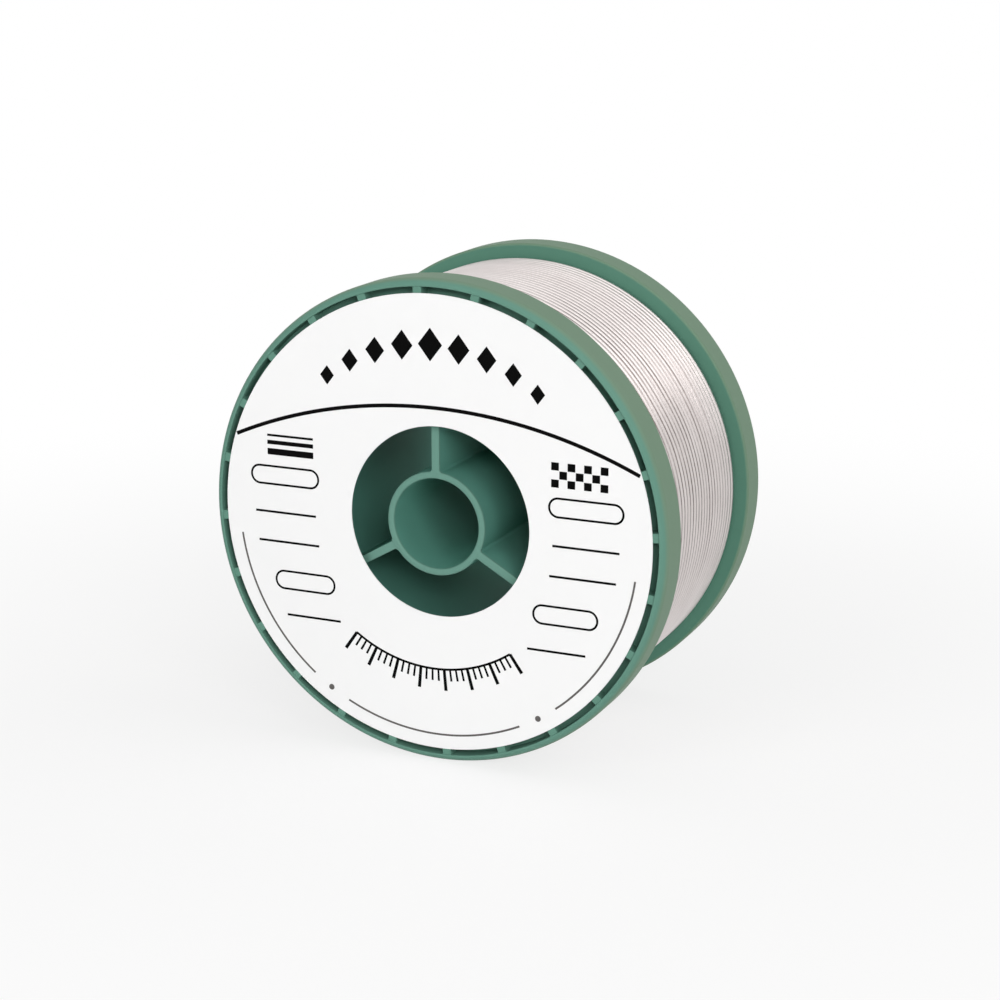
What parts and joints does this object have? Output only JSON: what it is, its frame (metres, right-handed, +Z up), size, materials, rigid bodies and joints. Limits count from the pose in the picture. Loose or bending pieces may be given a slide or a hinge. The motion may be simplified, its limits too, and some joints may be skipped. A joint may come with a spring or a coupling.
{
  "type": "solder wire spool",
  "caption": "Round plastic spool with ribbed flanges and a spoked hub, wound with a full load of flux-cored solder wire, with a round paper label.",
  "frame": {"origin": "middle of the spindle bore: on the spool's axis, halfway between the two rim faces", "axes": "+Y along the spool's axis, from the labelled end to the rear end; +Z up, as the spool stands on its rims"},
  "size_m": [0.064, 0.0378, 0.064],
  "materials": {
    "spool_plastic": "satin moulded polystyrene, bottle green",
    "label_paper": "smooth coated white paper",
    "solder": "satin tin alloy wire"
  },
  "bodies": {
    "root": {"front_flange": "spool_plastic", "rear_flange": "spool_plastic", "barrel": "spool_plastic", "hub_tube": "spool_plastic", "spoke_top": "spool_plastic", "spoke_left": "spool_plastic", "spoke_right": "spool_plastic", "front_label": "label_paper", "wire_inner_layers": "solder", "wire_outer_layer": "solder", "wire_start_end": "solder", "wire_finish_end": "solder"}
  },
  "joints": []
}
